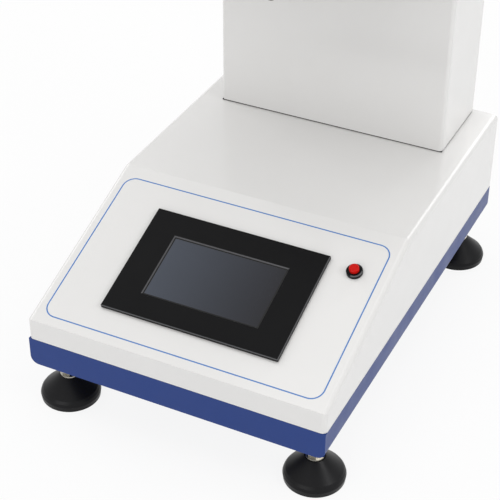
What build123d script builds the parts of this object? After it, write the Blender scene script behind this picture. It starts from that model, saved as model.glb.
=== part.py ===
from build123d import *
from math import atan2, cos, degrees, radians, sin
import os

# Bench melt flow index tester: a wedge console with a touch screen and a manual cut button,
# a rear column, and a heated barrel in a head that overhangs the deck. Millimetres, +Z up,
# X to the right, the operator's side faces -Y, the floor is Z = 0.

# Console: a white cover folded from sheet on a blue tray
width = 380.0
body_depth = 560.0
rear_proud = 5.0  # how far plugs and guards stand out of the rear wall
foot_height = 67.0  # floor to the underside of the tray
base_height = 36.5
fold_height = 65.2  # underside of the tray to the fold at the front
deck_height = 147.7  # underside of the tray to the deck
fold_run = 235.3  # front wall to the fold between panel and deck
sheet = 1.5
tray_sheet = 2.0
side_fold_radius = 6.3
front_fold_radius = 4.5
deck_fold_radius = 4.0
tray_edge_radius = 10.5
cover_seam = 0.4
lip_height = 12.0
lip_gap = 0.3
slot_pitch = 26.0
slot_count = 6
slot_length = 120.0
slot_width = 5.0
wire_slot_length = 90.0
wire_slot_width = 24.0
screw_places = (0.42, 0.14)  # shares of the width where the cover is screwed at the rear

# Touch screen
bezel_width = 226.5
bezel_height = 151.5
bezel_low = 43.4  # up the slope, from the front fold to the lower edge
bezel_rise = 5.0
bezel_radius = 1.0
bezel_chamfer = 0.8
gasket_thickness = 0.8
gasket_width = 6.0
gasket_inset = 1.0  # edge of the bezel to the gasket under it
window_width = 148.0
window_height = 86.5
window_drop = 0.9  # middle of the window below the middle of the bezel
window_bevel = 1.2
glass_drop = 1.6
glass_thickness = 2.0
display_thickness = 5.0
case_margin = 9.0  # edge of the bezel to the case behind it
case_depth = 38.0
case_wall = 2.5
case_clearance = 0.8
glass_lap = 5.0
clamp_size = 12.0
clamp_side_gap = 1.0
clamp_screw_proud = 5.0
post_width = 8.0
post_inset = 10.0

# Manual cut button
button_x = 146.4
button_up = 185.0
button_ring_diameter = 19.5
button_ring_rise = 5.0
button_barrel_diameter = 15.6
button_barrel_length = 24.0
button_cap_diameter = 12.0
button_cap_rise = 5.0
button_stem_diameter = 7.0
button_travel = 3.0
button_fit = 0.1
button_hole_clearance = 0.2
spring_wire = 0.7
spring_turns = 3.0
spring_fit = 0.4  # stem to the wire round it
nut_fit = 0.1
button_cap_seat = -4.5
spring_room = 3.0
button_nut_flats = 20.0
button_nut_thickness = 3.5
contact_width = 17.0
contact_depth = 16.0
contact_radius = 1.5
pin_length = 6.0
pin_width = 2.8
pin_thickness = 0.8
button_chamfer = 1.2

# Levelling feet
foot_inset_x = 27.0
foot_inset_y = 38.0
pad_diameter = 73.6
pad_rim = 6.5
pad_foot_inset = 0.8
pad_shoulder = ((1.2, 3.8), (3.4, 7.1))  # the shoulder's two steps, in and up from the rim
pad_height = 32.0
pad_top_diameter = 25.0
stud_diameter = 10.0
stud_fit = 0.08
stud_ball_diameter = 15.0
stud_ball_height = 10.0
stud_above_tray = 18.0
stud_hole_gap = 1.0
hex_flats = 17.0
hex_height = 8.0
washer_diameter = 23.0
washer_thickness = 2.0
seat_gap = 0.3
insert_diameter = 20.0
insert_height = 12.0

# Column
column_width = 312.0
column_depth = 120.0
column_from_rear = 4.9  # rear wall to the back of the column
column_above_head = 14.0
column_radius = 5.0
column_gasket_thickness = 1.4
column_gasket_inset = 0.5
spine_thickness = 4.0
spine_flange = 70.0
spine_width = 220.0
column_flange = 14.0
vent_pitch = 14.0
vent_length = 60.0
vent_width = 4.0
vent_count = 11
vent_low = 90.0  # foot of the column to the lower vents
vent_high = 110.0  # top of the column to the upper vents
rear_cover_margin = 6.0
rear_screw_inset = 12.0

# Head and furnace
head_gap = 265.0  # deck to the underside of the head
head_width = 200.0
head_reach = 150.0
head_radius = 22.0
back_flange = 12.0
louvre_pitch = 12.0
louvre_length = 70.0
louvre_width = 4.0
louvre_count = 7
louvre_back = 62.0  # column to the middle of the louvres
lid_screw_inset = 20.0
arm_spacing = 120.0
arm_width = 30.0
arm_height = 12.0
arm_rise = 14.0
arm_reach = 34.0
cable_slot_length = 50.0
cable_slot_height = 22.0
cable_slot_up = 0.7  # share of the height of the head
plate_thickness = 8.0
plate_chamfer = 1.0
lid_thickness = 4.0
lid_chamfer = 1.2
barrel_length = 176.0
barrel_diameter = 36.0
barrel_bore = 9.55
barrel_flange_diameter = 56.0
barrel_flange_thickness = 6.0
heater_wall = 10.0
heater_length = 148.0
band_wall = 2.5
band_length = 60.0
band_end = 6.0  # end of the sleeve to the band
band_split = 3.0
insulation_diameter = 86.0
collar_diameter = 50.0
collar_height = 10.0
collar_bore = 12.0
collar_funnel = 3.0
probe_diameter = 4.0
probe_depth = 90.0
probe_over_depth = 1.0  # bottom of the probe's hole below its tip
probe_head = 5.0
die_diameter = 9.5
die_length = 8.0
die_orifice = 2.1
hole_gap = 0.3

# Die gate under the barrel
gate_width = 26.0
gate_thickness = 3.0
gate_travel = 24.0
gate_gap = 0.3
gate_front_overhang = 14.0
gate_back = 36.0
gate_release_diameter = 11.0
gate_sight_diameter = 5.0
rail_width = 7.0
rail_thickness = 2.4
rail_hook = 3.0
rail_end_margin = 30.0
knob_diameter = 16.0
knob_length = 20.0
knob_neck = 4.0

# Cutter
cutter_offset = 64.0
cutter_reach = 71.0
cutter_drop = 8.0
blade_thickness = 1.2
blade_width = 14.0
blade_tip_cut = 1.0
shaft_diameter = 8.0
shaft_fit = 0.08
motor_diameter = 34.0
motor_length = 62.0
gearbox_height = 22.0
gearbox_step = 2.0
clamp_screw_diameter = 10.0
clamp_screw_height = 4.0
clamp_socket = 2.0
clamp_socket_depth = 2.5

# Piston and weights
piston_head_diameter = 9.474
piston_head_length = 6.35
piston_rod_diameter = 9.0
piston_length = 212.0
tray_diameter = 62.0
tray_thickness = 6.0
tray_hub_diameter = 26.0
tray_hub_drop = 14.0
tray_above_collar = 30.0
spigot_diameter = 12.0
spigot_clearance = 0.3
spigot_drop = 8.0
spigot_chamfer = 1.5
weight_diameter = 100.0
weight_heights = (40.6, 40.6, 26.6)
weight_groove = 3.0
lift_knob_diameter = 26.0
lift_knob_height = 26.0
knob_root = 5.0

# Rear fittings
inlet_x = -128.0
inlet_z = 66.0  # above the underside of the tray
inlet_width = 48.0
inlet_height = 30.0
inlet_radius = 3.0
flange_thickness = 3.0
inlet_body_inset = 4.0
inlet_body_margin = 3.0
socket_chamfer = 4.0
socket_floor = 4.0
socket_width = 25.0
socket_height = 17.5
socket_depth = 17.0
pin_recess = 5.5
inlet_pin_width = 2.0
inlet_pin_height = 4.0
pin_places = ((-7.0, -2.0), (7.0, -2.0), (0.0, 2.5))
fuse_z = 94.0
fuse_diameter = 16.0
fuse_length = 34.0
fuse_flange = 1.5
fuse_flange_lap = 2.0
fuse_wall = 3.0
fuse_slot_width = 1.6
fuse_slot_depth = 1.2
switch_x = -78.0
switch_width = 28.0
switch_height = 21.0
switch_radius = 2.0
switch_body = 20.0
switch_inset = 2.0
rocker_width = 18.0
rocker_height = 13.0
rocker_gap = 1.2
rocker_axis = -2.0
rocker_pocket = 12.0
rocker_back = 2.5  # axis to the back of the rocker
rocker_back_half = 3.0
rocker_drops = (0.4, 2.6, 1.6)  # below the rear fittings' reach: low end, middle, high end
trunnion_diameter = 3.0
trunnion_length = 1.5
rocker_angle = 20.0
fan_x = 96.0
fan_size = 80.0
fan_depth = 25.0
fan_hub_diameter = 32.0
fan_blades = 7
fan_gap = 1.5
fan_chord = 17.0
fan_pitch = 38.0
fan_blade_thickness = 1.5
fan_wall = 2.0
fan_arm = 4.0
fan_arm_depth = 3.0
axle_diameter = 6.0
axle_length = 8.0
guard_wire = 1.6
guard_rings = (14.0, 25.0, 36.0)
guard_eye = 4.0

# Electronics on the tray floor
standoff_height = 8.0
supply_size = (160.0, 98.0, 42.0)
board_size = (150.0, 110.0, 1.6)
relay_size = (60.0, 46.0, 24.0)
board_x = 60.0
board_gap = 23.5  # power supply to the board in front of it
relay_x = -120.0
supply_x = -80.0
supply_from_rear = 110.0
supply_vent_depth = 2.0
supply_vent_pitch = (14.0, 22.0)
supply_vent_count = (9, 3)
supply_vent_size = (4.0, 16.0)
board_post_width = 6.0
board_post_inset = 6.0
board_part_height = 9.0
chip_places = ((-30.0, 10.0), (25.0, 20.0))
chip_size = 24.0
terminal_place = (0.0, -42.0)
terminal_size = (110.0, 12.0)
capacitor_places = ((48.0, -8.0), (48.0, 22.0), (-56.0, -10.0))
capacitor_size = (16.0, 20.0)
relay_base = 14.0
relay_fins = 8
relay_fin_thickness = 2.0
screw_diameter = 3.0
screw_head_diameter = 5.6
screw_head_height = 1.4

os.makedirs("parts", exist_ok=True)

# Places worked out from the sizes above
total_depth = body_depth + rear_proud
front = -total_depth / 2
rear = front + body_depth
tray_bottom = foot_height
base_top = foot_height + base_height
deck = foot_height + deck_height
tilt = degrees(atan2(deck_height - fold_height, fold_run))
panel = Plane(
    origin=(0, front, foot_height + fold_height),
    x_dir=(1, 0, 0),
    z_dir=(0, -sin(radians(tilt)), cos(radians(tilt))),
)
panel_axis = Axis(panel.origin, panel.z_dir)
tray_floor = tray_bottom + tray_sheet
rear_plane = Plane.XZ.offset(-rear)
fan_z = (base_top + lip_height + deck - sheet) / 2
column_back = rear - column_from_rear
column_face = column_back - column_depth
barrel_y = column_face - head_reach / 2
head_front = column_face - head_reach
head_bottom = deck + head_gap
head_top = head_bottom + barrel_length
head_lid = head_top - lid_thickness
head_floor = head_bottom + plate_thickness
column_bottom = deck + column_gasket_thickness
column_top = head_top + column_above_head
board_y = rear - supply_from_rear - supply_size[1] / 2 - board_gap - board_size[1] / 2
foot_places = {
    "front_left": (-width / 2 + foot_inset_x, -total_depth / 2 + foot_inset_y),
    "front_right": (width / 2 - foot_inset_x, -total_depth / 2 + foot_inset_y),
    "rear_left": (-width / 2 + foot_inset_x, total_depth / 2 - foot_inset_y),
    "rear_right": (width / 2 - foot_inset_x, total_depth / 2 - foot_inset_y),
}


def save(piece, name):
    piece.label = name
    export_step(piece, f"parts/{name}.step")


def console_form(inset, low):
    # The cover's outer form, or the hollow inside it when inset is the sheet's thickness
    half = width / 2 - inset
    with BuildPart() as form:
        with BuildSketch(Plane.YZ) as profile:
            with BuildLine():
                Polyline(
                    (front, low),
                    (front, foot_height + fold_height),
                    (front + fold_run, deck),
                    (rear, deck),
                    (rear, low),
                    close=True,
                )
            make_face()
            if inset:
                offset(amount=-inset, kind=Kind.INTERSECTION)
            corners = profile.vertices()
            front_fold = corners.sort_by_distance((0, front, foot_height + fold_height))[0]
            deck_fold = corners.sort_by_distance((0, front + fold_run, deck))[0]
            fillet(front_fold, front_fold_radius - inset)
            fillet(deck_fold, deck_fold_radius - inset)
        extrude(amount=half, both=True)
        side_edges = form.edges().filter_by(lambda e: abs(abs(e.center().X) - half) < 0.01)
        # The side fold runs up the front corner, over both folds and back along the deck
        above = side_edges.filter_by(lambda e: e.center().Z > low + side_fold_radius)
        fillet(above.filter_by(lambda e: e.center().Y < rear - side_fold_radius),
               side_fold_radius - inset)
    return form.part


def hmi_plane(rise):
    # Sketch plane on the screen's centre, a height above the panel
    middle = bezel_low + bezel_height / 2
    return panel.offset(rise).shift_origin(panel.offset(rise).from_local_coords((0, middle)))


def button_plane(rise):
    return panel.offset(rise).shift_origin(
        panel.offset(rise).from_local_coords((button_x, button_up))
    )


case_width = bezel_width - 2 * case_margin
case_height = bezel_height - 2 * case_margin
screw_z = base_top + lip_height / 2

with BuildPart() as console_cover:
    add(console_form(0, base_top + cover_seam))
    add(console_form(sheet, base_top - 10 * sheet), mode=Mode.SUBTRACT)
    # Openings for the screen and the button
    with BuildSketch(hmi_plane(0)):
        Rectangle(case_width + 2 * case_clearance, case_height + 2 * case_clearance)
    extrude(amount=-3 * sheet, both=True, mode=Mode.SUBTRACT)
    with BuildSketch(button_plane(0)):
        Circle(button_barrel_diameter / 2 + button_hole_clearance)
    extrude(amount=-3 * sheet, both=True, mode=Mode.SUBTRACT)
    # Openings in the rear wall for the plug, the fuse, the switch and the fan
    with BuildSketch(rear_plane):
        with Locations((inlet_x, foot_height + inlet_z)):
            Rectangle(inlet_width - 2 * inlet_body_inset, inlet_height - 2 * inlet_body_margin)
        with Locations((inlet_x, foot_height + fuse_z)):
            Circle(fuse_diameter / 2 + hole_gap)
        with Locations((switch_x, foot_height + inlet_z)):
            Rectangle(switch_width - 2 * switch_inset, switch_height - 2 * switch_inset)
        with Locations((fan_x, fan_z)):
            Circle(fan_size / 2 - 2 * fan_wall)
    extrude(amount=3 * sheet, both=True, mode=Mode.SUBTRACT)
    # Slot through the deck for the wires that go up the column
    with BuildSketch(Plane.XY.offset(deck)):
        with Locations((0, column_face + column_depth / 2)):
            Rectangle(wire_slot_length, wire_slot_width)
    extrude(amount=3 * sheet, both=True, mode=Mode.SUBTRACT)
save(console_cover.part, "console_cover")

with BuildPart() as base_tray:
    with BuildSketch(Plane.XZ.offset(-front)):
        with Locations((0, tray_bottom + base_height / 2)):
            outline = Rectangle(width, base_height)
        low_corners = outline.vertices().group_by(Axis.Y)[0]
        fillet(low_corners, tray_edge_radius)
    extrude(amount=-body_depth)
    with BuildSketch(Plane.XZ.offset(-front - tray_sheet)):
        with Locations((0, tray_floor + base_height / 2)):
            hollow = Rectangle(width - 2 * tray_sheet, base_height)
        fillet(hollow.vertices().group_by(Axis.Y)[0], tray_edge_radius - tray_sheet)
    extrude(amount=-body_depth + 2 * tray_sheet, mode=Mode.SUBTRACT)
    # Lip that stands up inside the cover and takes its screws
    lip_x = width - 2 * (sheet + lip_gap)
    lip_y = body_depth - 2 * (sheet + lip_gap)
    with BuildSketch(Plane.XY.offset(base_top - lip_height)):
        with Locations((0, (front + rear) / 2)):
            lip = Rectangle(lip_x, lip_y)
        fillet(lip.vertices().group_by(Axis.Y)[0], side_fold_radius - sheet - lip_gap)
        with Locations((0, (front + rear) / 2)):
            Rectangle(lip_x - 2 * tray_sheet, lip_y - 2 * tray_sheet, mode=Mode.SUBTRACT)
    extrude(amount=2 * lip_height)
    # Holes for the feet and cooling slots in the floor
    with BuildSketch(Plane.XY.offset(tray_bottom)):
        with Locations(*foot_places.values()):
            Circle(stud_diameter / 2 + stud_hole_gap)
        with Locations((0, (front + rear) / 2)):
            with GridLocations(slot_pitch, 0, slot_count, 1):
                Rectangle(slot_width, slot_length)
    extrude(amount=tray_sheet, mode=Mode.SUBTRACT)
save(base_tray.part, "base_tray")

# Touch screen: gasket, bezel, glass, display, case and the clamps that hold it
bezel_back = gasket_thickness
bezel_face = bezel_rise
window_middle = -window_drop
with BuildPart() as hmi_gasket:
    with BuildSketch(hmi_plane(0)):
        gasket_x = bezel_width - 2 * gasket_inset
        gasket_y = bezel_height - 2 * gasket_inset
        RectangleRounded(gasket_x, gasket_y, bezel_radius)
        Rectangle(
            gasket_x - 2 * gasket_width,
            gasket_y - 2 * gasket_width,
            mode=Mode.SUBTRACT,
        )
    extrude(amount=gasket_thickness)
save(hmi_gasket.part, "hmi_gasket")

with BuildPart() as hmi_bezel:
    with BuildSketch(hmi_plane(bezel_back)):
        RectangleRounded(bezel_width, bezel_height, bezel_radius)
    extrude(amount=bezel_face - bezel_back)
    rim = hmi_bezel.faces().sort_by(panel_axis)[-1].edges()
    chamfer(rim, bezel_chamfer)
    # Window with a sloping edge down to the glass
    with BuildSketch(hmi_plane(bezel_face)):
        with Locations((0, window_middle)):
            Rectangle(window_width + 2 * window_bevel, window_height + 2 * window_bevel)
    with BuildSketch(hmi_plane(bezel_face - window_bevel)):
        with Locations((0, window_middle)):
            Rectangle(window_width, window_height)
    loft(mode=Mode.SUBTRACT)
    with BuildSketch(hmi_plane(bezel_face)):
        with Locations((0, window_middle)):
            Rectangle(window_width, window_height)
    extrude(amount=-bezel_rise, mode=Mode.SUBTRACT)
    # Pocket behind the face for the glass
    with BuildSketch(hmi_plane(bezel_back)):
        with Locations((0, window_middle)):
            Rectangle(window_width + 2 * glass_lap, window_height + 2 * glass_lap)
    extrude(amount=bezel_face - glass_drop - bezel_back, mode=Mode.SUBTRACT)
save(hmi_bezel.part, "hmi_bezel")

glass_face = bezel_face - glass_drop
with BuildPart() as hmi_glass:
    with BuildSketch(hmi_plane(glass_face)):
        with Locations((0, window_middle)):
            Rectangle(
                window_width + 2 * glass_lap - 2 * hole_gap,
                window_height + 2 * glass_lap - 2 * hole_gap,
            )
    extrude(amount=-glass_thickness)
save(hmi_glass.part, "hmi_glass")

display_face = glass_face - glass_thickness - hole_gap
with BuildPart() as hmi_display:
    with BuildSketch(hmi_plane(display_face)):
        with Locations((0, window_middle)):
            Rectangle(window_width + glass_lap, window_height + glass_lap)
    extrude(amount=-display_thickness)
save(hmi_display.part, "hmi_display")

with BuildPart() as hmi_case:
    with BuildSketch(hmi_plane(bezel_back)):
        Rectangle(case_width, case_height)
    extrude(amount=-case_depth)
    with BuildSketch(hmi_plane(bezel_back)):
        Rectangle(case_width - 2 * case_wall, case_height - 2 * case_wall)
    extrude(amount=case_wall - case_depth, mode=Mode.SUBTRACT)
    # Posts that carry the display
    with BuildSketch(hmi_plane(case_wall - case_depth + bezel_back)):
        with Locations((0, window_middle)):
            with GridLocations(window_width - 2 * post_inset, window_height - 2 * post_inset, 2, 2):
                Rectangle(post_width, post_width)
    extrude(amount=display_face - display_thickness - case_wall + case_depth - bezel_back)
save(hmi_case.part, "hmi_case")

with BuildPart() as hmi_clamps:
    clamp_pitch = case_width + 2 * hole_gap + clamp_size
    with BuildSketch(hmi_plane(-sheet)):
        with GridLocations(clamp_pitch, case_height / 2, 2, 2):
            Rectangle(clamp_size - 2 * clamp_side_gap, clamp_size)
    extrude(amount=-clamp_size)
    with BuildSketch(hmi_plane(-sheet)):
        with GridLocations(clamp_pitch, case_height / 2, 2, 2):
            RegularPolygon(screw_diameter / 2, 6)
    extrude(amount=-clamp_size - clamp_screw_proud)
save(hmi_clamps.part, "hmi_clamps")

# Cut button: collar with its threaded barrel, cap and stem, spring, nut and contacts
with BuildPart() as button_collar:
    with BuildSketch(button_plane(0)):
        Circle(button_ring_diameter / 2)
    extrude(amount=button_ring_rise)
    chamfer(button_collar.faces().sort_by(panel_axis)[-1].edges(), button_chamfer)
    with BuildSketch(button_plane(0)):
        Circle(button_barrel_diameter / 2)
    extrude(amount=-button_barrel_length)
    # Bore for the cap, bore for the spring and bore for the stem
    with BuildSketch(button_plane(button_ring_rise)):
        Circle(button_cap_diameter / 2 + button_fit)
    extrude(amount=button_cap_seat - button_ring_rise, mode=Mode.SUBTRACT)
    with BuildSketch(button_plane(button_ring_rise)):
        Circle(button_stem_diameter / 2 + button_fit)
    extrude(amount=-button_ring_rise - button_barrel_length, mode=Mode.SUBTRACT)
save(button_collar.part, "button_collar")

cap_low = button_cap_seat + button_travel + spring_room
with BuildPart() as button_cap:
    with BuildSketch(button_plane(cap_low)):
        Circle(button_cap_diameter / 2)
    extrude(amount=button_ring_rise + button_cap_rise - cap_low)
    chamfer(button_cap.faces().sort_by(panel_axis)[-1].edges(), button_chamfer)
    with BuildSketch(button_plane(cap_low)):
        Circle(button_stem_diameter / 2)
    extrude(amount=-cap_low - button_barrel_length + button_travel + hole_gap)
save(button_cap.part, "button_cap")

spring_radius = button_stem_diameter / 2 + spring_wire + spring_fit
spring_height = cap_low - button_cap_seat - spring_wire - 2 * hole_gap
with BuildPart() as button_spring:
    with BuildLine() as coil:
        Helix(pitch=spring_height / spring_turns, height=spring_height, radius=spring_radius)
    with BuildSketch(Plane(origin=coil.line @ 0, z_dir=coil.line % 0)):
        Rectangle(spring_wire, spring_wire)
    sweep(path=coil.line, is_frenet=True)
spring_seat = button_plane(button_cap_seat + hole_gap + spring_wire / 2)
save(spring_seat.location * button_spring.part, "button_spring")

with BuildPart() as button_nut:
    with BuildSketch(button_plane(-sheet)):
        RegularPolygon(button_nut_flats / 2, 6, major_radius=False)
        Circle(button_barrel_diameter / 2 + nut_fit, mode=Mode.SUBTRACT)
    extrude(amount=-button_nut_thickness)
save(button_nut.part, "button_nut")

with BuildPart() as button_contacts:
    with BuildSketch(button_plane(-button_barrel_length)):
        RectangleRounded(contact_width, contact_width, contact_radius)
    extrude(amount=-contact_depth)
    with BuildSketch(button_plane(-button_barrel_length - contact_depth)):
        with GridLocations(contact_width / 2, contact_width / 2, 2, 2):
            Rectangle(pin_width, pin_thickness)
    extrude(amount=-pin_length)
save(button_contacts.part, "button_contacts")

# Levelling feet: a cone pad, a stud that turns in it, and a threaded insert in the tray
stud_top = tray_floor + stud_above_tray
hex_low = pad_height + seat_gap
for name, (x, y) in foot_places.items():
    with BuildPart() as foot_pad:
        with BuildSketch(Plane.XZ):
            with BuildLine():
                Polyline(
                    (0, 0),
                    (pad_diameter / 2 - pad_foot_inset, 0),
                    (pad_diameter / 2, pad_rim),
                    *[(pad_diameter / 2 - inward, pad_rim + up) for inward, up in pad_shoulder],
                    (pad_top_diameter / 2, pad_height),
                    (stud_ball_diameter / 2 + stud_fit, pad_height),
                    (stud_ball_diameter / 2 + stud_fit, pad_height - stud_ball_height),
                    (0, pad_height - stud_ball_height),
                    close=True,
                )
            make_face()
        revolve(axis=Axis.Z)
    save(Pos(x, y, 0) * foot_pad.part, f"foot_pad_{name}")

    with BuildPart() as foot_stud:
        with BuildSketch(Plane.XY.offset(pad_height - stud_ball_height + seat_gap)):
            Circle(stud_ball_diameter / 2)
        extrude(amount=stud_ball_height)
        with BuildSketch(Plane.XY.offset(hex_low)):
            Circle(washer_diameter / 2)
        extrude(amount=washer_thickness)
        with BuildSketch(Plane.XY.offset(hex_low + washer_thickness)):
            RegularPolygon(hex_flats / 2, 6, major_radius=False)
        extrude(amount=hex_height)
        with BuildSketch(Plane.XY.offset(hex_low)):
            Circle(stud_diameter / 2)
        extrude(amount=stud_top - hex_low)
    save(Pos(x, y, 0) * foot_stud.part, f"foot_stud_{name}")

with BuildPart() as foot_inserts:
    with BuildSketch(Plane.XY.offset(tray_floor)):
        with Locations(*foot_places.values()):
            RegularPolygon(insert_diameter / 2, 6)
            Circle(stud_diameter / 2 + stud_fit, mode=Mode.SUBTRACT)
    extrude(amount=insert_height)
save(foot_inserts.part, "foot_inserts")

# Column: gasket on the deck, folded shell, inner spine and rear cover
with BuildPart() as column_gasket:
    with BuildSketch(Plane.XY.offset(deck)):
        with Locations((0, column_face + column_depth / 2)):
            seam_x = column_width - 2 * column_gasket_inset
            seam_y = column_depth - 2 * column_gasket_inset
            Rectangle(seam_x, seam_y)
            Rectangle(
                seam_x - 2 * gasket_width,
                seam_y - 2 * gasket_width,
                mode=Mode.SUBTRACT,
            )
    extrude(amount=column_gasket_thickness)
save(column_gasket.part, "column_gasket")


def column_outline(inset):
    # Plan of the column, square at the back and rounded at the two front corners
    with BuildSketch() as plan:
        with Locations((0, column_face + column_depth / 2)):
            Rectangle(column_width - 2 * inset, column_depth - 2 * inset)
        fillet(plan.vertices().group_by(Axis.Y)[0], column_radius - inset)
    return plan.sketch


cable_slot = (0, head_bottom + barrel_length * cable_slot_up)
arm_places = [(side * arm_spacing / 2, head_bottom + arm_rise) for side in (-1, 1)]
with BuildPart() as column_shell:
    with BuildSketch(Plane.XY.offset(column_bottom)):
        add(column_outline(0))
    extrude(amount=column_top - column_bottom)
    top_rim = column_shell.faces().sort_by(Axis.Z)[-1].edges()
    fillet(top_rim.sort_by(Axis.Y)[:-1], column_radius - 1)
    with BuildSketch(Plane.XY.offset(column_bottom)):
        add(column_outline(sheet))
    extrude(amount=column_top - sheet - column_bottom, mode=Mode.SUBTRACT)
    # Open back behind a flange that the rear cover screws to
    with BuildSketch(Plane.XZ.offset(-column_back)):
        with Locations((0, (column_bottom + column_top) / 2)):
            Rectangle(
                column_width - 2 * column_flange,
                column_top - column_bottom - 2 * column_flange,
            )
    extrude(amount=2 * sheet, mode=Mode.SUBTRACT)
    # Holes for the two arms and the furnace wiring
    with BuildSketch(Plane.XZ.offset(-column_face)):
        with Locations(*arm_places):
            Rectangle(arm_width + 2 * hole_gap, arm_height + 2 * hole_gap)
        with Locations(cable_slot):
            Rectangle(cable_slot_length, cable_slot_height)
    extrude(amount=-2 * sheet, mode=Mode.SUBTRACT)
save(column_shell.part, "column_shell")

with BuildPart() as column_rear_cover:
    cover_low = column_bottom + rear_cover_margin
    cover_high = column_top - rear_cover_margin
    with BuildSketch(Plane.XZ.offset(-column_back)):
        with Locations((0, (cover_low + cover_high) / 2)):
            RectangleRounded(
                column_width - 2 * rear_cover_margin, cover_high - cover_low, column_radius - 1
            )
    extrude(amount=-sheet)
    with BuildSketch(Plane.XZ.offset(-column_back)):
        with Locations((0, column_top - vent_high), (0, column_bottom + vent_low)):
            with GridLocations(vent_pitch, 0, vent_count, 1):
                Rectangle(vent_width, vent_length)
    extrude(amount=-sheet, mode=Mode.SUBTRACT)
save(column_rear_cover.part, "column_rear_cover")

# Spine: foot flange, upright with a lightening window, and two arms out to the furnace plate
spine_face = column_face + sheet
with BuildPart() as column_spine:
    with BuildSketch(Plane.XY.offset(column_bottom)):
        with Locations((0, spine_face + spine_flange / 2)):
            Rectangle(spine_width, spine_flange)
            Rectangle(wire_slot_length, wire_slot_width, mode=Mode.SUBTRACT)
    extrude(amount=spine_thickness)
    with BuildSketch(Plane.XZ.offset(-spine_face)):
        with Locations((0, (column_bottom + head_lid) / 2)):
            Rectangle(spine_width, head_lid - column_bottom)
        with Locations((0, column_bottom + head_gap / 2)):
            Rectangle(spine_width - spine_flange, head_gap - spine_flange, mode=Mode.SUBTRACT)
        with Locations(cable_slot):
            Rectangle(cable_slot_length, cable_slot_height, mode=Mode.SUBTRACT)
    extrude(amount=-spine_thickness)
    with BuildSketch(Plane.XZ.offset(-spine_face - spine_thickness)):
        with Locations(*arm_places):
            Rectangle(arm_width, arm_height)
    extrude(amount=spine_thickness + sheet + arm_reach)
    gusset_x = spine_width / 2 - spine_thickness
    for side in (-1, 1):
        with BuildSketch(Plane.YZ.offset(side * (gusset_x + spine_thickness / 2))):
            with BuildLine():
                Polyline(
                    (spine_face, column_bottom),
                    (spine_face + spine_flange, column_bottom),
                    (spine_face + spine_flange, column_bottom + spine_flange / 3),
                    (spine_face + spine_thickness, column_bottom + 2 * spine_flange),
                    (spine_face, column_bottom + 2 * spine_flange),
                    close=True,
                )
            make_face()
        extrude(amount=spine_thickness / 2, both=True)
save(column_spine.part, "column_spine")


def head_outline(inset):
    # Plan of the head, square where it meets the column and rounded at the front
    with BuildSketch() as plan:
        with Locations((0, column_face - head_reach / 2)):
            Rectangle(head_width - 2 * inset, head_reach - 2 * inset)
        fillet(plan.vertices().group_by(Axis.Y)[0], head_radius - inset)
    return plan.sketch


with BuildPart() as head_plate:
    with BuildSketch(Plane.XY.offset(head_bottom)):
        add(head_outline(0))
        with Locations((0, barrel_y)):
            Circle(barrel_diameter / 2 + hole_gap, mode=Mode.SUBTRACT)
        with Locations((cutter_offset, barrel_y)):
            Circle(shaft_diameter / 2 + shaft_fit, mode=Mode.SUBTRACT)
    extrude(amount=plate_thickness)
    low_edge = head_plate.faces().sort_by(Axis.Z)[0].outer_wire().edges()
    chamfer(low_edge.sort_by(Axis.Y)[:-1], plate_chamfer)
save(head_plate.part, "head_plate")

with BuildPart() as head_housing:
    with BuildSketch(Plane.XY.offset(head_floor)):
        add(head_outline(0))
        add(head_outline(sheet), mode=Mode.SUBTRACT)
    extrude(amount=head_lid - head_floor)
    # Back wall opened for the arms and wires, with a flange left round it
    with BuildSketch(Plane.XZ.offset(-column_face)):
        with Locations((0, (head_floor + head_lid - back_flange) / 2)):
            Rectangle(head_width - 2 * back_flange, head_lid - head_floor - back_flange)
    extrude(amount=2 * sheet, mode=Mode.SUBTRACT)
    # Louvre slots in both sides
    with BuildSketch(Plane.YZ):
        with Locations((column_face - louvre_back, (head_floor + head_lid) / 2)):
            with GridLocations(0, louvre_pitch, 1, louvre_count):
                Rectangle(louvre_length, louvre_width)
    extrude(amount=head_width, both=True, mode=Mode.SUBTRACT)
save(head_housing.part, "head_housing")

with BuildPart() as head_lid_plate:
    with BuildSketch(Plane.XY.offset(head_lid)):
        add(head_outline(0))
        with Locations((0, barrel_y)):
            Circle(barrel_diameter / 2 + hole_gap, mode=Mode.SUBTRACT)
    extrude(amount=lid_thickness)
    high_edge = head_lid_plate.faces().sort_by(Axis.Z)[-1].outer_wire().edges()
    chamfer(high_edge.sort_by(Axis.Y)[:-1], lid_chamfer)
save(head_lid_plate.part, "head_lid")

# Pan head screws: console rear, column cover and head lid
screw_seats = [
    Plane(origin=(side * share * width, rear, screw_z), x_dir=(1, 0, 0), z_dir=(0, 1, 0))
    for side in (-1, 1)
    for share in screw_places
]
screw_seats += [
    Plane(origin=(x, column_back + sheet, z), x_dir=(1, 0, 0), z_dir=(0, 1, 0))
    for x in (rear_screw_inset - column_width / 2, column_width / 2 - rear_screw_inset)
    for z in (
        cover_low + rear_screw_inset,
        (cover_low + cover_high) / 2,
        cover_high - rear_screw_inset,
    )
]
lid_screw_x = head_width / 2 - lid_screw_inset
lid_screw_y = head_reach / 2 - lid_screw_inset
screw_seats += [
    Plane(origin=(side * lid_screw_x, barrel_y + end * lid_screw_y, head_top))
    for side in (-1, 1)
    for end in (-1, 1)
]
with BuildPart() as case_screws:
    for seat in screw_seats:
        with BuildSketch(seat):
            RegularPolygon(screw_head_diameter / 2, 12)
        extrude(amount=screw_head_height)
save(case_screws.part, "case_screws")

# Furnace on the barrel's axis: each ring is turned from its half section
axis_plane = Plane.XZ.offset(-barrel_y)
barrel_axis = Axis((0, barrel_y, 0), (0, 0, 1))


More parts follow.
